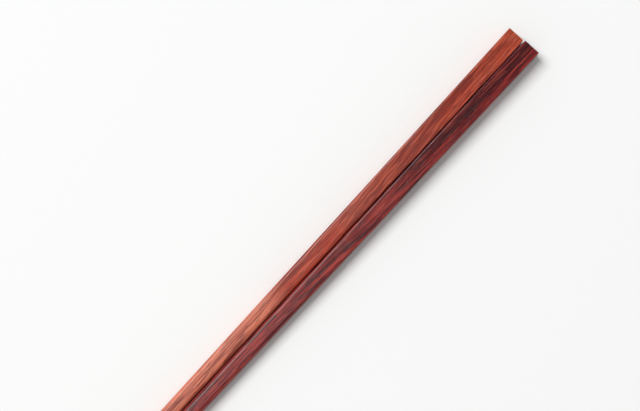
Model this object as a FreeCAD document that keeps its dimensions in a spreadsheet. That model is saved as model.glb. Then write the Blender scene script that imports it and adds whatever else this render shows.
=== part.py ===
import FreeCAD, Part
import math
import os
import Sketcher

# A pair of wooden chopsticks that lie side by side on a table, heads toward +Y.
# Each is one square stick that tapers to its tip, and its long edges grow rounder on the way.
# The two are alike: the left one lies a quarter turn over, so that its inner side is upright.
# Millimetres, +Z up. The origin is on the table, under the middle of the pair.
# A stick is drawn with its inner side on x = 0 and its underside on z = 0, and placed last.

# Name, value and meaning of each driving size.
SIZES = (
    ("stick_length", 240.0, "one stick, from the top of its head to its tip"),
    ("head_width", 7.0, "side of the square section at the head"),
    ("tip_width", 5.2, "the same across the flats at the tip"),
    ("head_edge_radius", 0.4, "rounding of the four long edges at the head"),
    ("tip_edge_radius", 2.0, "rounding of the four long edges at the tip"),
    ("head_dome_rise", 0.25, "bulge of the head end over its width"),
    ("head_rim_radius", 0.3, "rounding of the rim of the head end"),
    ("tip_dome_rise", 0.5, "bulge of the tip end over its width"),
    ("tip_rim_radius", 1.2, "rounding of the rim of the tip end"),
    ("ease_depth", 0.35, "how far the inner side and the underside draw in at the head"),
    ("ease_length", 3.5, "length of stick over which they draw in"),
    ("stick_gap", 0.25, "clearance between the two sticks"),
    ("head_lead", 0.4, "how far the right stick reaches past the left one"),
)

# Reach of an end's cutter from its axis, as a share of the width: a square's corner is at 0.71.
CUTTER_REACH = 0.75

# Name of each stick, side of the middle it lies on and quarter turns about its inner lower edge.
STICKS = (("left_chopstick", -1, -1), ("right_chopstick", 1, 0))

HEAD = 1
TIP = -1


def make_sheet(doc):
    """Write the driving sizes into the document's sheet."""
    sheet = doc.addObject("Spreadsheet::Sheet", "Sizes")
    for row, (name, value, meaning) in enumerate(SIZES, start=1):
        sheet.set(f"A{row}", meaning)
        sheet.set(f"B{row}", str(value))
        sheet.setAlias(f"B{row}", name)
    doc.recompute()
    return sheet


def make_sketch(body, name, role):
    """Add an empty sketch on one of the body's own origin planes."""
    sketch = body.newObject("Sketcher::SketchObject", name)
    plane = next(item for item in body.Origin.OriginFeatures if item.Role == role)
    sketch.AttachmentSupport = [(plane, "")]
    sketch.MapMode = "FlatFace"
    return sketch


def join(sketch, one, one_end, other, other_end):
    """Make two ends meet. An end is 1 for a start, 2 for an end and 3 for a centre."""
    sketch.addConstraint(Sketcher.Constraint("Coincident", one, one_end, other, other_end))


def add_lines(sketch, corners):
    """Draw joined lines through the corners and return their numbers."""
    lines = []
    for here, there in zip(corners, corners[1:]):
        line = Part.LineSegment(FreeCAD.Vector(*here, 0), FreeCAD.Vector(*there, 0))
        lines.append(sketch.addGeometry(line))
    for one, other in zip(lines, lines[1:]):
        join(sketch, one, 2, other, 1)
    return lines


def add_size(sketch, name, kind, where, formula):
    """Add a dimension that follows the sheet. where holds geometry and point numbers."""
    if kind == "Radius":
        value = sketch.Geometry[where[0]].Radius
    else:
        span = sketch.getPoint(*where[2:]) - sketch.getPoint(*where[:2])
        value = span.x if kind == "DistanceX" else span.y
    number = sketch.addConstraint(Sketcher.Constraint(kind, *where, value))
    sketch.renameConstraint(number, name)
    sketch.setExpression(f"Constraints.{name}", formula)


def draw_plan(body, sheet):
    """Draw the stick from above: a straight inner side and an outer one that slopes in."""
    half = sheet.stick_length / 2
    sketch = make_sketch(body, "PlanOutline", "XY_Plane")
    tip, outer, head, inner = add_lines(sketch, [
        (0, -half), (sheet.tip_width, -half), (sheet.head_width, half), (0, half), (0, -half)])
    join(sketch, inner, 2, tip, 1)
    for end in (tip, head):
        sketch.addConstraint(Sketcher.Constraint("Horizontal", end))
    sketch.addConstraint(Sketcher.Constraint("PointOnObject", inner, 1, -2))
    sketch.addConstraint(Sketcher.Constraint("Symmetric", inner, 1, inner, 2, -1, 1))
    add_size(sketch, "length", "DistanceY", (inner, 2, inner, 1), "Sizes.stick_length")
    add_size(sketch, "tip", "DistanceX", (tip, 1, tip, 2), "Sizes.tip_width")
    add_size(sketch, "head", "DistanceX", (head, 2, head, 1), "Sizes.head_width")
    return sketch


def draw_slope(body, sheet):
    """Draw the wedge of waste above the sloping upper side."""
    half = sheet.stick_length / 2
    sketch = make_sketch(body, "UpperSlope", "YZ_Plane")
    slope, level, back = add_lines(sketch, [
        (-half, sheet.tip_width), (half, sheet.head_width), (-half, sheet.head_width),
        (-half, sheet.tip_width)])
    join(sketch, back, 2, slope, 1)
    sketch.addConstraint(Sketcher.Constraint("Horizontal", level))
    sketch.addConstraint(Sketcher.Constraint("Vertical", back))
    add_size(sketch, "length", "DistanceX", (slope, 1, slope, 2), "Sizes.stick_length")
    add_size(sketch, "half", "DistanceX", (-1, 1, slope, 2), "Sizes.stick_length / 2")
    add_size(sketch, "tip", "DistanceY", (-1, 1, slope, 1), "Sizes.tip_width")
    add_size(sketch, "head", "DistanceY", (-1, 1, slope, 2), "Sizes.head_width")
    return sketch


def make_blank(doc, sheet, name):
    """Plane the square, tapering blank, with flat sides and sharp edges."""
    body = doc.addObject("PartDesign::Body", name)
    pad = body.newObject("PartDesign::Pad", "Thickness")
    pad.Profile = draw_plan(body, sheet)
    pad.setExpression("Length", "Sizes.head_width")
    doc.recompute()
    pocket = body.newObject("PartDesign::Pocket", "Taper")
    pocket.Profile = draw_slope(body, sheet)
    pocket.SideType = "Symmetric"
    pocket.Type = "ThroughAll"
    doc.recompute()
    if pocket.Shape.Volume >= pad.Shape.Volume:
        raise RuntimeError(f"{name}: the taper cuts nothing")
    return body


def round_long_edges(doc, sheet, blank, name):
    """Round the four long edges, a little at the head and more and more toward the tip."""
    rounded = doc.addObject("Part::Fillet", name)
    rounded.Base = blank
    radii = []
    for number, edge in enumerate(blank.Shape.Edges, start=1):
        ends = [vertex.Y for vertex in edge.Vertexes]
        if min(ends) < 0 < max(ends):
            start, end = (
                sheet.head_edge_radius if y > 0 else sheet.tip_edge_radius for y in ends)
            radii.append((number, start, end))
    rounded.Edges = radii
    doc.recompute()
    return rounded


def draw_dome(body, sheet, name, end, width, rise):
    """Draw the waste beyond a shallow dome, on the middle line of one end of the stick."""
    wide = sheet.getPropertyByName(width)
    high = sheet.getPropertyByName(rise)
    radius = (wide ** 2 / 4 + high ** 2) / (2 * high)
    reach = CUTTER_REACH * wide
    shoulder = math.sqrt(radius ** 2 - reach ** 2) - radius
    sketch = make_sketch(body, f"{name}Profile", "XY_Plane")
    sketch.AttachmentOffset = FreeCAD.Placement(
        FreeCAD.Vector(wide / 2, end * sheet.stick_length / 2, wide / 2),
        FreeCAD.Rotation(0 if end == HEAD else 180, 0, 0))
    sketch.setExpression("AttachmentOffset.Base.x", f"Sizes.{width} / 2")
    sketch.setExpression("AttachmentOffset.Base.y", f"{end} * Sizes.stick_length / 2")
    sketch.setExpression("AttachmentOffset.Base.z", f"Sizes.{width} / 2")
    circle = Part.Circle(FreeCAD.Vector(0, -radius, 0), FreeCAD.Vector(0, 0, 1), radius)
    dome = sketch.addGeometry(
        Part.ArcOfCircle(circle, math.acos(reach / radius), math.pi / 2))
    side, top, axis = add_lines(sketch, [(reach, shoulder), (reach, high), (0, high), (0, 0)])
    join(sketch, dome, 1, side, 1)
    join(sketch, dome, 2, axis, 2)
    join(sketch, dome, 2, -1, 1)
    sketch.addConstraint(Sketcher.Constraint("PointOnObject", dome, 3, -2))
    sketch.addConstraint(Sketcher.Constraint("Vertical", side))
    sketch.addConstraint(Sketcher.Constraint("Horizontal", top))
    sketch.addConstraint(Sketcher.Constraint("Vertical", axis))
    add_size(sketch, "reach", "DistanceX", (-1, 1, side, 1), f"{CUTTER_REACH} * Sizes.{width}")
    add_size(sketch, "clear", "DistanceY", (axis, 2, axis, 1), f"Sizes.{rise}")
    add_size(sketch, "dome", "Radius", (dome,),
             f"(Sizes.{width} ^ 2 / 4 + Sizes.{rise} ^ 2) / (2 * Sizes.{rise})")
    return sketch


def shape_end(doc, sheet, body, end, width, rise, radius):
    """Turn a dome on one end of the stick and round its rim."""
    name = "Head" if end == HEAD else "Tip"
    before = body.Tip.Shape.Volume
    groove = body.newObject("PartDesign::Groove", f"{name}Dome")
    groove.Profile = draw_dome(body, sheet, groove.Name, end, width, rise)
    groove.ReferenceAxis = (groove.Profile[0], ["V_Axis"])
    groove.Angle = 360
    doc.recompute()
    if groove.Shape.Volume >= before:
        raise RuntimeError(f"{groove.Label}: the dome cuts nothing")
    dome = next(face for face in groove.Shape.Faces
                if isinstance(face.Surface, Part.Sphere) and face.CenterOfMass.y * end > 0)
    rim = [edge for edge in dome.Edges if not edge.Degenerated and not edge.isSeam(dome)]
    fillet = body.newObject("PartDesign::Fillet", f"{name}Rim")
    fillet.Base = (groove, [
        f"Edge{number}" for number, edge in enumerate(groove.Shape.Edges, start=1)
        if any(edge.isSame(part) for part in rim)])
    fillet.setExpression("Radius", f"Sizes.{radius}")
    doc.recompute()


def draw_ease(body, sheet, name, role):
    """Draw the waste where a side draws in at the head: an arc that leaves the side softly.

    The sketch measures into the stick on its first axis and along the stick on its second.
    """
    top = sheet.stick_length / 2
    start = top - sheet.ease_length
    depth = sheet.ease_depth
    radius = (sheet.ease_length ** 2 + depth ** 2) / (2 * depth)
    sketch = make_sketch(body, f"{name}Profile", role)
    if role == "YZ_Plane":
        swap_axes = FreeCAD.Rotation(FreeCAD.Vector(1, 1, 0), 180)
        sketch.AttachmentOffset = FreeCAD.Placement(FreeCAD.Vector(), swap_axes)
    circle = Part.Circle(FreeCAD.Vector(radius, start, 0), FreeCAD.Vector(0, 0, 1), radius)
    sweep = math.asin(sheet.ease_length / radius)
    ease = sketch.addGeometry(Part.ArcOfCircle(circle, math.pi - sweep, math.pi))
    level, back, foot = add_lines(
        sketch, [(depth, top), (-depth, top), (-depth, start), (0, start)])
    join(sketch, ease, 1, level, 1)
    join(sketch, ease, 2, foot, 2)
    for line in (level, foot):
        sketch.addConstraint(Sketcher.Constraint("Horizontal", line))
    sketch.addConstraint(Sketcher.Constraint("Vertical", back))
    sketch.addConstraint(Sketcher.Constraint("Horizontal", ease, 3, ease, 2))
    sketch.addConstraint(Sketcher.Constraint("PointOnObject", ease, 2, -2))
    add_size(sketch, "start", "DistanceY", (-1, 1, ease, 2),
             "Sizes.stick_length / 2 - Sizes.ease_length")
    add_size(sketch, "length", "DistanceY", (ease, 2, ease, 1), "Sizes.ease_length")
    add_size(sketch, "depth", "DistanceX", (-1, 1, ease, 1), "Sizes.ease_depth")
    add_size(sketch, "outside", "DistanceX", (back, 1, -1, 1), "Sizes.ease_depth")
    return sketch


def ease_side(doc, sheet, body, name, role):
    """Sand one side back at the head, so that the pair parts there."""
    before = body.Tip.Shape.Volume
    pocket = body.newObject("PartDesign::Pocket", name)
    pocket.Profile = draw_ease(body, sheet, name, role)
    pocket.SideType = "Symmetric"
    pocket.Type = "ThroughAll"
    doc.recompute()
    if pocket.Shape.Volume >= before:
        raise RuntimeError(f"{name}: the easing cuts nothing")


def make_stick(doc, sheet, name):
    """Make one stick in its own place: blank, rounded edges, both ends and eased sides."""
    blank = make_blank(doc, sheet, f"{name}_blank")
    body = doc.addObject("PartDesign::Body", name)
    body.BaseFeature = round_long_edges(doc, sheet, blank, f"{name}_edges")
    doc.recompute()
    shape_end(doc, sheet, body, HEAD, "head_width", "head_dome_rise", "head_rim_radius")
    shape_end(doc, sheet, body, TIP, "tip_width", "tip_dome_rise", "tip_rim_radius")
    ease_side(doc, sheet, body, "InnerEase", "XY_Plane")
    ease_side(doc, sheet, body, "UnderEase", "YZ_Plane")
    return body


def lay_down(body, side, turns):
    """Lay a stick on its side of the middle, turned about its inner lower edge."""
    body.Placement = FreeCAD.Placement(
        FreeCAD.Vector(), FreeCAD.Rotation(FreeCAD.Vector(0, 1, 0), 90 * turns))
    body.setExpression("Placement.Base.x", f"{side} * Sizes.stick_gap / 2")
    body.setExpression("Placement.Base.y", f"{side} * Sizes.head_lead / 2")


def check_model(doc, sticks):
    """Stop before anything is written if a step failed or a stick isn't one sound solid."""
    for item in doc.Objects:
        if "Invalid" in item.State or "Error" in item.State:
            raise RuntimeError(f"{item.Label}: {item.State}")
    for stick in sticks:
        shape = stick.Shape
        if shape.isNull() or not shape.isValid() or len(shape.Solids) != 1:
            raise RuntimeError(f"{stick.Label}: not one sound solid")


def main():
    """Build the pair and write one file for each stick."""
    doc = FreeCAD.newDocument("Chopsticks")
    sheet = make_sheet(doc)
    sticks = []
    for name, side, turns in STICKS:
        stick = make_stick(doc, sheet, name)
        lay_down(stick, side, turns)
        sticks.append(stick)
    doc.recompute()
    check_model(doc, sticks)
    os.makedirs("parts", exist_ok=True)
    for stick in sticks:
        stick.Shape.exportStep(f"parts/{stick.Label}.step")


main()
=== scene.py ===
"""Looks of a pair of wooden chopsticks that lie side by side on a pale table."""

import logging
import math
from collections.abc import Callable
from dataclasses import dataclass, field
from enum import Enum

import bpy
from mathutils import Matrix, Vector


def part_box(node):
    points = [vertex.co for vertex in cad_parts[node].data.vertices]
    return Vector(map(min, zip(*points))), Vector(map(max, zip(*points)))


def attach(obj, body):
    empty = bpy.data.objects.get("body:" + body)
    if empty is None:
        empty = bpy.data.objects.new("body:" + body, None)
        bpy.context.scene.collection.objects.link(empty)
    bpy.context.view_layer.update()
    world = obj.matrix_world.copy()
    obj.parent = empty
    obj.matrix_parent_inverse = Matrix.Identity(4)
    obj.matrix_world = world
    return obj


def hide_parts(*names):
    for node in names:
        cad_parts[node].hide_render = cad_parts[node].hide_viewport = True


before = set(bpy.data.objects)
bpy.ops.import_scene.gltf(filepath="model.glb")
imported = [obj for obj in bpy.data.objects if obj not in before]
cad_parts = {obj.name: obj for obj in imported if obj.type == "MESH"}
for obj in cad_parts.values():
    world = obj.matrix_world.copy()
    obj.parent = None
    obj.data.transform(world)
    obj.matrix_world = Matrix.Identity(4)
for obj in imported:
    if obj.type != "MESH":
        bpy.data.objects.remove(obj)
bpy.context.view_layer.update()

MM = 0.001
IMAGE_SIZE = (640, 411)

# The growth pattern gathers about 0.5. These are its levels for the three shades of the wood.
DARK_STOP, MIDDLE_STOP, PALE_STOP = 0.38, 0.50, 0.62
# Share of the narrow mottle in the growth pattern. The broad bands have the rest.
MOTTLE_SHARE = 0.5
# Levels between which nearly all of a pattern lies, and how much its finer steps count.
PATTERN_LOW, PATTERN_HIGH = 0.3, 0.7
PATTERN_ROUGHNESS = 0.55
# Shares of a growth layer's half width at which it starts to thin out and is gone.
LAYER_CORE, LAYER_RIM = 0.45, 1.3
# Height over the table at which the places of the growth layers are given, in millimetres.
LAYER_HEIGHT = 6.5

# How near a point has to be to a long edge, to a flat end and to a ring, to lie on it.
EDGE_REACH, END_REACH, RING_REACH = 0.02 * MM, 0.01 * MM, 0.002 * MM

# Middle of the part of the pair that the photo shows. The lamps look at it.
LAMP_AIM = (0.0, 0.03, 0.0)

Tree = bpy.types.NodeTree
Socket = bpy.types.NodeSocket

log = logging.getLogger("chopsticks")


class Side(Enum):
    """Side of the pair's middle that a stick lies on, with the sign of its X."""

    LEFT = -1
    RIGHT = 1


def linear(code: str) -> tuple[float, float, float, float]:
    """Turn an sRGB hex colour to the linear one that a shader takes.

    Args:
        code: The colour as six hex digits after a hash.

    Returns:
        Red, green, blue and a full alpha.
    """
    parts = [int(code[place:place + 2], 16) / 255 for place in (1, 3, 5)]
    # The sRGB curve is straight near black and a power above that.
    red, green, blue = (
        part / 12.92 if part <= 0.04045 else ((part + 0.055) / 1.055) ** 2.4 for part in parts)
    return red, green, blue, 1.0


def add_node(
    tree: Tree,
    kind: str,
    settings: dict[str, object] | None = None,
    inputs: dict[str | int, object] | None = None,
) -> bpy.types.Node:
    """Add a node with its settings, values and links.

    Args:
        tree: The node tree that takes it.
        kind: The node's class name.
        settings: Values of the node's own properties.
        inputs: A value or an output socket for each input, by name or number.

    Returns:
        The new node.
    """
    node = tree.nodes.new(kind)
    for name, value in (settings or {}).items():
        setattr(node, name, value)
    for name, value in (inputs or {}).items():
        if isinstance(value, Socket):
            tree.links.new(value, node.inputs[name])
        else:
            node.inputs[name].default_value = value
    return node


@dataclass(frozen=True)
class Layer:
    """A layer of growth in the wood, as it runs over the stick's upper side.

    Lengths are in millimetres. Places along the stick count from its head and places across
    it from its inner side.
    """

    colour: str
    strength: float  # how much it covers, from 0 to 1
    half_width: float
    begins: float  # along the stick
    ends: float
    at_start: float  # across the stick, where it begins
    at_end: float
    lean: float = 0.35  # how far it moves across with each millimetre of height
    fade: float = 12.0  # length over which it comes and goes
    ragged: float = 0.8  # how far its edges wander


@dataclass(frozen=True)
class Grain:
    """A pattern of streaks along the grain, with the size of one streak in millimetres."""

    width: float
    length: float
    detail: float  # number of finer steps in it


@dataclass(frozen=True)
class Streaks(Grain):
    """Fine marks along the grain that lie over the shades of the wood."""

    low: float  # level of the pattern at which a mark starts
    high: float  # level at which it is full
    strength: float
    colour: str


@dataclass(frozen=True)
class WoodFinish:
    """Padauk heartwood, planed, sanded and wiped with a thin oil.

    The plane cuts long vessels open, and some of them hold a paler gum. That gives the eye
    fine dark lines and paler flecks along the grain, over growth bands that shade from orange
    red to maroon. The oil gives a satin surface: a soft sheen that is livelier at the head and
    duller toward the tip, with the faint ridges of sanded grain in it.

    Growth bands of padauk are 1 to 2 mm wide and tens of millimetres long, and the sizes of
    the bands and the mottle are those. Its vessel lines are 0.15 to 0.25 mm wide and 5 to
    15 mm long. A pixel of the render is 0.37 mm, so the lines, flecks and pores are drawn up to
    twice as coarse as they are, because finer ones wouldn't show. The ridges are coarser than
    real ones for the same reason, and 0.05 mm deep at most.
    """

    name: str
    pale: str
    middle: str
    dark: str
    drift: tuple[tuple[float, float], ...]  # place along the stick and the grain's shift there
    layers: tuple[Layer, ...]
    soft_lines: Streaks
    fine_lines: Streaks
    pores: Streaks
    flecks: Streaks
    seed: float
    bands: Grain = Grain(width=1.6, length=45.0, detail=2.0)
    mottle: Grain = Grain(width=1.0, length=14.0, detail=3.0)
    ridges: Grain = Grain(width=0.45, length=14.0, detail=2.0)
    ridge_height: float = 0.05  # in mm
    pore_depth: float = 0.3  # as a share of the ridges' height
    ior: float = 1.4  # a thin, soaked-in oil shines less than a film of varnish
    head_roughness: float = 0.22
    lower_roughness: float = 0.33
    dulls_from: float = 50.0  # along the stick, in mm
    dulls_to: float = 150.0

    def build(self, head_y: float, inner_x: float, side: Side) -> bpy.types.Material:
        """Make the material for one stick.

        Args:
            head_y: Place of the stick's head end along Y, in metres.
            inner_x: Place of its inner side along X, in metres.
            side: The side of the middle that it lies on.

        Returns:
            The finished material.
        """
        material = bpy.data.materials.new(self.name)
        material.use_nodes = True
        tree = material.node_tree
        tree.nodes.clear()
        place = self._place(tree, head_y, inner_x, side)
        grain = self._grain(tree, place)
        bands = self._streaks(tree, grain, self.bands)
        mottle = self._streaks(tree, grain, self.mottle)
        colour = self._growth(tree, place, bands, mottle)
        # The pores come last, so that the surface sinks in where their cover is left.
        for marks in (self.soft_lines, self.flecks, self.fine_lines, self.pores):
            level = self._streaks(tree, grain, marks)
            cover = add_node(tree, "ShaderNodeMapRange", {"interpolation_type": "SMOOTHSTEP"}, {
                "Value": level, "From Min": marks.low, "From Max": marks.high,
                "To Min": 0.0, "To Max": marks.strength}).outputs[0]
            colour = add_node(tree, "ShaderNodeMix", {"data_type": "RGBA"}, {
                "Factor": cover, "A": colour, "B": linear(marks.colour)}).outputs["Result"]
        shader = self._surface(tree, grain, colour, cover)
        add_node(tree, "ShaderNodeOutputMaterial", inputs={"Surface": shader})
        return material

    def _place(self, tree: Tree, head_y: float, inner_x: float, side: Side) -> Socket:
        """Measure from the stick's head and its inner side, in millimetres.

        Args:
            tree: The material's node tree.
            head_y: Place of the stick's head end along Y, in metres.
            inner_x: Place of its inner side along X, in metres.
            side: The side of the middle that it lies on.

        Returns:
            The place, with X across, Y along and Z up.
        """
        where = add_node(tree, "ShaderNodeTexCoord").outputs["Object"]
        shifted = add_node(tree, "ShaderNodeVectorMath", {"operation": "SUBTRACT"}, {
            0: where, 1: (inner_x, head_y, 0)}).outputs[0]
        return add_node(tree, "ShaderNodeVectorMath", {"operation": "MULTIPLY"}, {
            0: shifted, 1: (side.value / MM, -1 / MM, 1 / MM)}).outputs[0]

    def _grain(self, tree: Tree, place: Socket) -> Socket:
        """Shift the grain across the stick as it drifts along it.

        Args:
            tree: The material's node tree.
            place: The place on the stick.

        Returns:
            The place as the grain runs.
        """
        parts = add_node(tree, "ShaderNodeSeparateXYZ", inputs={0: place})
        across = parts.outputs["X"]
        for (start, low), (end, high) in zip(self.drift, self.drift[1:]):
            step = add_node(tree, "ShaderNodeMapRange", {"interpolation_type": "LINEAR"}, {
                "Value": parts.outputs["Y"], "From Min": start, "From Max": end,
                "To Min": 0.0, "To Max": high - low}).outputs[0]
            across = add_node(tree, "ShaderNodeMath", {"operation": "ADD"}, {
                0: across, 1: step}).outputs[0]
        return add_node(tree, "ShaderNodeCombineXYZ", inputs={
            "X": across, "Y": parts.outputs["Y"], "Z": parts.outputs["Z"]}).outputs[0]

    def _streaks(self, tree: Tree, grain: Socket, pattern: Grain) -> Socket:
        """Draw a pattern of streaks along the grain.

        Args:
            tree: The material's node tree.
            grain: The place as the grain runs.
            pattern: The size and detail of the streaks.

        Returns:
            The pattern's level, which gathers about 0.5.
        """
        across, along = 1 / pattern.width, 1 / pattern.length
        scaled = add_node(tree, "ShaderNodeVectorMath", {"operation": "MULTIPLY"}, {
            0: grain, 1: (across, along, across)}).outputs[0]
        return add_node(tree, "ShaderNodeTexNoise", {"noise_dimensions": "4D"}, {
            "Vector": scaled, "W": self.seed + pattern.width, "Scale": 1.0,
            "Detail": pattern.detail, "Roughness": PATTERN_ROUGHNESS}).outputs["Fac"]

    def _growth(self, tree: Tree, place: Socket, bands: Socket, mottle: Socket) -> Socket:
        """Shade the wood in bands and lay the growth layers over them.

        Args:
            tree: The material's node tree.
            place: The place on the stick.
            bands: Level of the broad pattern.
            mottle: Level of the narrow pattern.

        Returns:
            The colour of the wood without its fine marks.
        """
        blend = add_node(tree, "ShaderNodeMix", inputs={
            "Factor": MOTTLE_SHARE, "A": bands, "B": mottle}).outputs["Result"]
        ramp = add_node(tree, "ShaderNodeValToRGB", inputs={"Fac": blend})
        stops = ramp.color_ramp.elements
        stops[0].position = DARK_STOP
        stops[0].color = linear(self.dark)
        stops[1].position = PALE_STOP
        stops[1].color = linear(self.pale)
        stops.new(MIDDLE_STOP).color = linear(self.middle)
        colour = ramp.outputs["Color"]
        for layer in self.layers:
            colour = self._lay(tree, place, mottle, layer, colour)
        return colour

    def _lay(
        self, tree: Tree, place: Socket, wobble: Socket, layer: Layer, under: Socket
    ) -> Socket:
        """Lay one growth layer over the wood.

        Args:
            tree: The material's node tree.
            place: The place on the stick.
            wobble: Level of the pattern that makes the layer's edges wander.
            layer: The layer.
            under: The colour of the wood so far.

        Returns:
            The colour with the layer on it.
        """
        parts = add_node(tree, "ShaderNodeSeparateXYZ", inputs={0: place})
        middle = add_node(tree, "ShaderNodeMapRange", {"clamp": False}, {
            "Value": parts.outputs["Y"], "From Min": layer.begins, "From Max": layer.ends,
            "To Min": layer.at_start, "To Max": layer.at_end}).outputs[0]
        sunk = add_node(tree, "ShaderNodeMath", {"operation": "SUBTRACT"}, {
            0: parts.outputs["Z"], 1: LAYER_HEIGHT}).outputs[0]
        middle = add_node(tree, "ShaderNodeMath", {"operation": "MULTIPLY_ADD"}, {
            0: sunk, 1: layer.lean, 2: middle}).outputs[0]
        ragged = add_node(tree, "ShaderNodeMapRange", {"clamp": False}, {
            "Value": wobble, "From Min": PATTERN_LOW, "From Max": PATTERN_HIGH,
            "To Min": -layer.ragged, "To Max": layer.ragged}).outputs[0]
        away = add_node(tree, "ShaderNodeMath", {"operation": "SUBTRACT"}, {
            0: parts.outputs["X"], 1: middle}).outputs[0]
        away = add_node(tree, "ShaderNodeMath", {"operation": "ADD"}, {
            0: away, 1: ragged}).outputs[0]
        away = add_node(tree, "ShaderNodeMath", {"operation": "ABSOLUTE"}, {0: away}).outputs[0]
        cover = add_node(tree, "ShaderNodeMapRange", {"interpolation_type": "SMOOTHSTEP"}, {
            "Value": away, "From Min": LAYER_CORE * layer.half_width,
            "From Max": LAYER_RIM * layer.half_width,
            "To Min": layer.strength, "To Max": 0.0}).outputs[0]
        rise = add_node(tree, "ShaderNodeMapRange", {"interpolation_type": "SMOOTHSTEP"}, {
            "Value": parts.outputs["Y"], "From Min": layer.begins - layer.fade,
            "From Max": layer.begins}).outputs[0]
        fall = add_node(tree, "ShaderNodeMapRange", {"interpolation_type": "SMOOTHSTEP"}, {
            "Value": parts.outputs["Y"], "From Min": layer.ends,
            "From Max": layer.ends + layer.fade, "To Min": 1.0, "To Max": 0.0}).outputs[0]
        for reach in (rise, fall):
            cover = add_node(tree, "ShaderNodeMath", {"operation": "MULTIPLY"}, {
                0: cover, 1: reach}).outputs[0]
        return add_node(tree, "ShaderNodeMix", {"data_type": "RGBA"}, {
            "Factor": cover, "A": under, "B": linear(layer.colour)}).outputs["Result"]

    def _surface(self, tree: Tree, grain: Socket, colour: Socket, pores: Socket) -> Socket:
        """Give the oiled surface its sheen, its raised grain and the depth of its pores.

        Args:
            tree: The material's node tree.
            grain: The place as the grain runs.
            colour: The colour of the wood.
            pores: How much of a pore is at each place.

        Returns:
            The shader.
        """
        ridges = self._streaks(tree, grain, self.ridges)
        height = add_node(tree, "ShaderNodeMath", {"operation": "MULTIPLY_ADD"}, {
            0: pores, 1: -self.pore_depth, 2: ridges}).outputs[0]
        bump = add_node(tree, "ShaderNodeBump", inputs={
            "Strength": 1.0, "Distance": self.ridge_height * MM, "Height": height}).outputs[0]
        along = add_node(tree, "ShaderNodeSeparateXYZ", inputs={0: grain}).outputs["Y"]
        rough = add_node(tree, "ShaderNodeMapRange", inputs={
            "Value": along, "From Min": self.dulls_from, "From Max": self.dulls_to,
            "To Min": self.head_roughness, "To Max": self.lower_roughness}).outputs[0]
        return add_node(tree, "ShaderNodeBsdfPrincipled", inputs={
            "Base Color": colour, "Roughness": rough, "Normal": bump, "IOR": self.ior}).outputs[0]


# Wood from nearer the bark. It gives the eye a warm orange-red stick, browner between 50 and
# 90 mm from the head and a pale salmon from 140 mm on, with low-contrast lines.
ORANGE_PADAUK = WoodFinish(
    name="oiled_padauk_orange_red",
    pale="#AC422D", middle="#993726", dark="#802B20",
    drift=((0.0, 0.0), (45.0, 0.8), (98.0, 5.0), (240.0, 7.0)),
    layers=(
        Layer("#BC4E33", strength=0.5, half_width=9.0, begins=-20.0, ends=14.0,
              at_start=3.5, at_end=3.5, fade=16.0),
        Layer("#8E4438", strength=0.45, half_width=9.0, begins=50.0, ends=92.0,
              at_start=3.5, at_end=3.5),
        Layer("#6A1F18", strength=0.5, half_width=1.2, begins=24.0, ends=40.0,
              at_start=5.6, at_end=5.4, fade=5.0),
        Layer("#C0432A", strength=0.6, half_width=2.2, begins=99.0, ends=120.0,
              at_start=1.4, at_end=1.2, fade=8.0),
        Layer("#E08366", strength=0.78, half_width=12.0, begins=140.0, ends=260.0,
              at_start=3.5, at_end=3.5, fade=15.0),
    ),
    soft_lines=Streaks(width=0.9, length=30.0, detail=2.0,
                       low=0.47, high=0.59, strength=0.16, colour="#7C2C20"),
    flecks=Streaks(width=0.50, length=10.0, detail=1.0,
                   low=0.52, high=0.57, strength=0.60, colour="#C45E44"),
    fine_lines=Streaks(width=0.32, length=11.0, detail=0.0,
                       low=0.51, high=0.58, strength=0.66, colour="#6C241B"),
    pores=Streaks(width=0.30, length=5.0, detail=1.0,
                  low=0.58, high=0.65, strength=0.55, colour="#4A1511"),
    seed=3.0,
)

# Wood from nearer the heart. It gives the eye a maroon stick with nearly black layers by the
# head, a redder outer edge, and a rosier lower part with strong dark lines.
MAROON_PADAUK = WoodFinish(
    name="oiled_padauk_maroon",
    pale="#9A302C", middle="#7C2221", dark="#5C161A",
    drift=((0.0, 0.0), (85.0, 2.4), (120.0, 4.0), (240.0, 6.5)),
    layers=(
        # Darker maroon along the inner side by the head: partly the wood's own tone and partly
        # painted shade of the narrow gap between the sticks.
        Layer("#4C1620", strength=0.7, half_width=1.6, begins=-20.0, ends=60.0,
              at_start=0.6, at_end=0.0),
        Layer("#2A050B", strength=0.92, half_width=1.4, begins=-20.0, ends=42.0,
              at_start=3.0, at_end=2.6, ragged=0.6),
        Layer("#3C0810", strength=0.80, half_width=1.1, begins=46.0, ends=78.0,
              at_start=2.3, at_end=0.3, fade=7.0, ragged=0.6),
        Layer("#A83E36", strength=0.4, half_width=1.5, begins=64.0, ends=88.0,
              at_start=4.4, at_end=3.4, fade=8.0),
        Layer("#480F16", strength=0.7, half_width=0.9, begins=96.0, ends=118.0,
              at_start=3.8, at_end=3.0, fade=7.0),
        Layer("#9C3C3A", strength=0.62, half_width=12.0, begins=140.0, ends=260.0,
              at_start=3.5, at_end=3.5, fade=20.0),
        Layer("#B03A34", strength=0.45, half_width=1.3, begins=108.0, ends=260.0,
              at_start=5.7, at_end=4.8, fade=10.0, ragged=0.4),
        Layer("#5A1618", strength=0.7, half_width=0.5, begins=124.0, ends=152.0,
              at_start=5.3, at_end=5.1, fade=5.0, ragged=0.25),
    ),
    soft_lines=Streaks(width=0.9, length=30.0, detail=2.0,
                       low=0.47, high=0.59, strength=0.25, colour="#4E1016"),
    flecks=Streaks(width=0.50, length=10.0, detail=1.0,
                   low=0.53, high=0.58, strength=0.42, colour="#AE4334"),
    fine_lines=Streaks(width=0.32, length=11.0, detail=0.0,
                       low=0.50, high=0.58, strength=0.82, colour="#3E0B11"),
    pores=Streaks(width=0.30, length=5.0, detail=1.0,
                  low=0.58, high=0.65, strength=0.6, colour="#2A080B"),
    seed=11.0,
)


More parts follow.
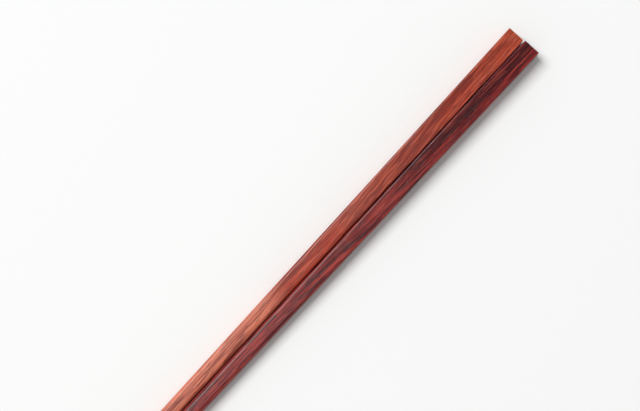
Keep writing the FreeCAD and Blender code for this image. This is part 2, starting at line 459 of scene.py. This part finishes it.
@dataclass
class Chopstick:
    """One square stick that tapers to a nearly round tip.

    Sizes are in metres. The head is 2 micrometres narrower than its solid's 7 mm, which keeps
    the rounded mesh inside the solid's box.
    """

    node: str
    side: Side
    finish: WoodFinish
    slot: str
    head_width: float = 6.998 * MM
    tip_width: float = 5.2 * MM
    head_edge_radius: float = 0.4 * MM
    tip_edge_radius: float = 2.0 * MM
    head_dome_rise: float = 0.25 * MM
    head_rim_radius: float = 0.3 * MM
    tip_dome_rise: float = 0.5 * MM
    tip_rim_radius: float = 1.2 * MM
    ease_depth: float = 0.35 * MM
    ease_length: float = 3.5 * MM
    stations: int = 240
    edge_segments: int = 10
    rim_steps: int = 5
    crown_rings: int = 4
    head_y: float = field(init=False)
    tip_y: float = field(init=False)
    inner_x: float = field(init=False)

    def __post_init__(self) -> None:
        """Read the stick's place from its solid."""
        low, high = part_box(self.node)
        self.head_y = high.y
        self.tip_y = low.y
        self.inner_x = high.x if self.side is Side.LEFT else low.x

    def build(self) -> bpy.types.Object:
        """Model the stick, dress it and let it stand for its solid.

        Returns:
            The finished piece.
        """
        piece = self._bar()
        self._round_long_edges(piece)
        self._crown(piece, self.head_y - self.head_rim_radius, self.head_rim_radius,
                    self.head_dome_rise)
        self._crown(piece, self.tip_y + self.tip_rim_radius, self.tip_rim_radius,
                    self.tip_dome_rise)
        self._ease_head(piece)
        self._smooth(piece)
        piece.data.materials.clear()
        piece.data.materials.append(self.finish.build(self.head_y, self.inner_x, self.side))
        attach(piece, "root")
        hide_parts(self.node)
        return piece

    def _share(self, y: float) -> float:
        """Say how far along the stick a place is: 0 at the head and 1 at the tip."""
        return (self.head_y - y) / (self.head_y - self.tip_y)

    def _width(self, y: float) -> float:
        """Give the width of the stick at a place along it."""
        return self.head_width + self._share(y) * (self.tip_width - self.head_width)

    def _edge_radius(self, y: float) -> float:
        """Give the radius of the long edges at a place along the stick.

        Args:
            y: The place along Y.

        Returns:
            The radius, which grows from the head and levels off at the tip.
        """
        share = self._share(y)
        soft = 3 * share ** 2 - 2 * share ** 3
        # Three parts of even growth and four of growth that starts and ends softly.
        grown = (3 * share + 4 * soft) / 7
        return self.head_edge_radius + grown * (self.tip_edge_radius - self.head_edge_radius)

    def _bar(self) -> bpy.types.Object:
        """Add the squared bar between the two rims, slope it and cut it into short lengths.

        Returns:
            The bar.
        """
        bpy.ops.object.select_all(action="DESELECT")
        top, bottom = self.head_y - self.head_rim_radius, self.tip_y + self.tip_rim_radius
        width, middle = self._width(top), (top + bottom) / 2
        bpy.ops.mesh.primitive_cube_add(size=1, scale=(width, top - bottom, width), location=(
            self.inner_x + self.side.value * width / 2, middle, width / 2))
        piece = bpy.context.object
        piece.name = f"{self.node}_wood"
        bpy.ops.object.transform_apply(location=True, rotation=True, scale=True)
        self._select(piece, lambda point: point.y < middle)
        shrink = self._width(bottom) / width
        bpy.ops.transform.resize(
            value=(shrink, 1, shrink), center_override=(self.inner_x, bottom, 0))
        bpy.ops.mesh.select_mode(type="EDGE")
        bpy.ops.mesh.select_all(action="DESELECT")
        bpy.ops.object.mode_set(mode="OBJECT")
        # Only the four long edges run over more than two widths along the stick.
        for edge in piece.data.edges:
            one, other = (piece.data.vertices[number].co for number in edge.vertices)
            edge.select = abs(one.y - other.y) > 2 * width
        bpy.ops.object.mode_set(mode="EDIT")
        bpy.ops.mesh.subdivide(number_cuts=self.stations - 1)
        bpy.ops.object.mode_set(mode="OBJECT")
        return piece

    def _select(self, piece: bpy.types.Object, wanted: Callable[[Vector], bool]) -> None:
        """Select the vertices that fit a test, with the faces between them, in edit mode.

        Args:
            piece: The stick.
            wanted: Takes a vertex's place and says whether it is selected.
        """
        bpy.ops.object.mode_set(mode="EDIT")
        bpy.ops.mesh.select_mode(type="VERT")
        bpy.ops.mesh.select_all(action="DESELECT")
        bpy.ops.object.mode_set(mode="OBJECT")
        for vertex in piece.data.vertices:
            vertex.select = wanted(vertex.co)
        bpy.ops.object.mode_set(mode="EDIT")

    def _on_long_edge(self, point: Vector) -> bool:
        """Say whether a point of the squared bar lies on one of its long edges.

        Args:
            point: The point.

        Returns:
            Whether it is near a side and near the top or the bottom.
        """
        width = self._width(point.y)
        across = abs(point.x - self.inner_x)
        from_side = min(across, abs(across - width))
        from_flat = min(point.z, abs(point.z - width))
        return from_side < EDGE_REACH and from_flat < EDGE_REACH

    def _round_long_edges(self, piece: bpy.types.Object) -> None:
        """Bevel the four long edges, each short length of them by its own width.

        Args:
            piece: The squared bar.
        """
        mesh = piece.data
        weights = mesh.attributes.new("bevel_weight_edge", "FLOAT", "EDGE")
        for edge in mesh.edges:
            one, other = (mesh.vertices[number].co for number in edge.vertices)
            lengthwise = abs(one.y - other.y) > END_REACH
            if lengthwise and self._on_long_edge(one) and self._on_long_edge(other):
                radius = self._edge_radius((one.y + other.y) / 2)
                weights.data[edge.index].value = radius / self.tip_edge_radius
        bevel = piece.modifiers.new("LongEdges", "BEVEL")
        bevel.limit_method = "WEIGHT"
        bevel.width = self.tip_edge_radius
        bevel.segments = self.edge_segments
        bevel.use_clamp_overlap = False
        bpy.ops.object.modifier_apply(modifier=bevel.name)

    def _crown(self, piece: bpy.types.Object, start_y: float, rim: float, rise: float) -> None:
        """Roll the rim of one end over and crown what it encloses.

        Args:
            piece: The stick.
            start_y: Place along Y where the end's flat face is.
            rim: Radius of the rim.
            rise: Height of the whole crown.
        """
        self._select(piece, lambda point: abs(point.y - start_y) < END_REACH)
        bpy.ops.mesh.select_mode(type="FACE")
        out = 1 if start_y > 0 else -1
        width = self._width(start_y)
        lift = rim - rise
        for step in range(self.rim_steps):
            one, other = (
                math.pi / 2 * share / self.rim_steps for share in (step, step + 1))
            bpy.ops.mesh.inset(
                thickness=rim * (math.cos(one) - math.cos(other)),
                depth=lift * (math.sin(other) - math.sin(one)))
        centre = (self.inner_x + self.side.value * width / 2, start_y, width / 2)
        for ring in range(1, self.crown_rings):
            share = 1 - ring / self.crown_rings
            before = 1 - (ring - 1) / self.crown_rings
            bpy.ops.mesh.extrude_region_move()
            bpy.ops.transform.resize(value=(share / before, 1, share / before),
                                     center_override=centre)
            bpy.ops.transform.translate(value=(0, out * rise * (before ** 2 - share ** 2), 0))
        bpy.ops.mesh.poke(offset=rise / self.crown_rings ** 2)
        bpy.ops.object.mode_set(mode="OBJECT")

    def _ease_head(self, piece: bpy.types.Object) -> None:
        """Sand the inner side and the underside away over the last stretch of the head.

        Args:
            piece: The stick with its crowned ends.
        """
        radius = (self.ease_length ** 2 + self.ease_depth ** 2) / (2 * self.ease_depth)
        start = self.head_y - self.ease_length
        rings = sorted({round(vertex.co.y / MM, 3) for vertex in piece.data.vertices
                        if vertex.co.y > start})
        for ring in rings:
            y = ring * MM
            depth = radius - math.sqrt(radius ** 2 - (y - start) ** 2)
            cut_x = self.inner_x + self.side.value * depth
            self._select(piece, lambda point: abs(point.y - y) < RING_REACH
                         and (point.x - cut_x) * self.side.value < 0)
            bpy.ops.transform.resize(value=(0, 1, 1), center_override=(cut_x, y, 0))
            self._select(piece, lambda point: abs(point.y - y) < RING_REACH and point.z < depth)
            bpy.ops.transform.resize(value=(1, 1, 0), center_override=(cut_x, y, depth))
        bpy.ops.mesh.select_all(action="SELECT")
        bpy.ops.mesh.remove_doubles(threshold=RING_REACH)
        bpy.ops.mesh.normals_make_consistent(inside=False)
        bpy.ops.object.mode_set(mode="OBJECT")

    def _smooth(self, piece: bpy.types.Object) -> None:
        """Shade the stick smooth, with the broad flats keeping their own normals.

        Args:
            piece: The stick in its last shape.
        """
        bpy.ops.object.shade_smooth()
        weigh = piece.modifiers.new("Flats", "WEIGHTED_NORMAL")
        weigh.mode = "FACE_AREA"
        weigh.keep_sharp = False
        bpy.ops.object.modifier_apply(modifier=weigh.name)


@dataclass(frozen=True)
class SoftLamp:
    """A large soft lamp that looks at the sticks."""

    name: str
    length: float  # metres, level
    spread: float  # metres, upright
    power: float  # watts
    height: float  # degrees over the table
    turn: float  # degrees round the table, from +X toward +Y
    distance: float = 4.0  # metres

    def build(self) -> bpy.types.Object:
        """Hang the lamp.

        Returns:
            The lamp.
        """
        turn, height = math.radians(self.turn), math.radians(self.height)
        toward = Vector((
            math.cos(turn) * math.cos(height), math.sin(turn) * math.cos(height),
            math.sin(height)))
        data = bpy.data.lights.new(self.name, "AREA")
        data.shape = "RECTANGLE"
        data.size = self.length
        data.size_y = self.spread
        data.energy = self.power
        lamp = bpy.data.objects.new(self.name, data)
        bpy.context.scene.collection.objects.link(lamp)
        lamp.location = Vector(LAMP_AIM) + toward * self.distance
        lamp.rotation_euler = toward.to_track_quat("Z", "Y").to_euler()
        return lamp


@dataclass
class Studio:
    """A pale table, a soft lamp on the left, a weaker one in front and dim surroundings."""

    floor_colour: str = "#F3F4F3"
    floor_half: float = 3.0
    floor_gap: float = 0.02 * MM  # keeps the table's top clear of the undersides
    key: SoftLamp = SoftLamp(
        "key_lamp", length=1.8, spread=2.4, power=138.0, height=59.5, turn=188.0)
    fill: SoftLamp = SoftLamp(
        "fill_lamp", length=2.4, spread=1.6, power=13.0, height=72.0, turn=315.0)
    zenith: float = 0.10
    horizon: float = 0.68

    def build(self) -> None:
        """Make the table, the lamps and the surroundings."""
        self._floor()
        self.key.build()
        self.fill.build()
        self._world()
        bpy.context.scene.view_settings.view_transform = "Standard"

    def _floor(self) -> None:
        """Lay the table's top under the sticks."""
        bpy.ops.object.select_all(action="DESELECT")
        bpy.ops.mesh.primitive_plane_add(
            size=2 * self.floor_half, location=(0, 0, -self.floor_gap))
        floor = bpy.context.object
        floor.name = "table_top"
        # A pressed laminate with a matt face. It gives the eye an even pale ground that
        # reflects nothing, on which only the soft shadow shows.
        material = bpy.data.materials.new("matt_white_laminate")
        material.use_nodes = True
        tree = material.node_tree
        tree.nodes.clear()
        shader = add_node(tree, "ShaderNodeBsdfDiffuse", inputs={
            "Color": linear(self.floor_colour)}).outputs[0]
        add_node(tree, "ShaderNodeOutputMaterial", inputs={"Surface": shader})
        floor.data.materials.append(material)

    def _world(self) -> None:
        """Shade the surroundings from a dim ceiling to brighter walls, and white to the eye."""
        world = bpy.data.worlds.new("studio")
        bpy.context.scene.world = world
        world.use_nodes = True
        tree = world.node_tree
        tree.nodes.clear()
        way = add_node(tree, "ShaderNodeTexCoord").outputs["Generated"]
        height = add_node(tree, "ShaderNodeSeparateXYZ", inputs={0: way}).outputs["Z"]
        level = add_node(tree, "ShaderNodeMapRange", inputs={
            "Value": height, "From Min": 0.0, "From Max": 1.0,
            "To Min": self.horizon, "To Max": self.zenith}).outputs[0]
        seen = add_node(tree, "ShaderNodeLightPath").outputs["Is Camera Ray"]
        strength = add_node(tree, "ShaderNodeMix", inputs={
            "Factor": seen, "A": level, "B": 1.0}).outputs["Result"]
        light = add_node(tree, "ShaderNodeBackground", inputs={
            "Color": (1.0, 1.0, 1.0, 1.0), "Strength": strength}).outputs[0]
        add_node(tree, "ShaderNodeOutputWorld", inputs={"Surface": light})


@dataclass
class PhotoCamera:
    """A camera high over the pair, with the heads at the upper right.

    Angles are in degrees, the distance and the aim in metres and the sensor in millimetres.
    """

    azimuth: float = 42.711
    elevation: float = 84.0
    distance: float = 0.7
    aim: tuple[float, float, float] = (-14.06 * MM, 23.81 * MM, 3.5 * MM)
    focal_pixels: float = 1904.5
    sensor_width: float = 36.0

    def build(self) -> bpy.types.Object:
        """Place the camera and make it the scene's.

        Returns:
            The camera.
        """
        turn, height = math.radians(self.azimuth), math.radians(self.elevation)
        back = Vector((
            math.sin(turn) * math.cos(height), -math.cos(turn) * math.cos(height),
            math.sin(height)))
        data = bpy.data.cameras.new("camera")
        data.sensor_width = self.sensor_width
        # The sensor's width lies along the longer side of the image.
        data.lens = self.focal_pixels / max(IMAGE_SIZE) * self.sensor_width
        camera = bpy.data.objects.new("camera", data)
        bpy.context.scene.collection.objects.link(camera)
        camera.location = Vector(self.aim) + back * self.distance
        camera.rotation_mode = "QUATERNION"
        camera.rotation_quaternion = (-back).to_track_quat("-Z", "Y")
        bpy.context.scene.camera = camera
        return camera


def main() -> None:
    """Build the pair, the studio and the camera in order, and report each piece."""
    logging.basicConfig(level=logging.INFO)
    for node, side, finish, slot in (
        ("left_chopstick", Side.LEFT, ORANGE_PADAUK, "orange_red_hardwood"),
        ("right_chopstick", Side.RIGHT, MAROON_PADAUK, "maroon_hardwood"),
    ):
        piece = Chopstick(node, side, finish, slot).build()
        log.info("%s: %d faces", piece.name, len(piece.data.polygons))
    Studio().build()
    PhotoCamera().build()


if __name__ == "__main__":
    main()
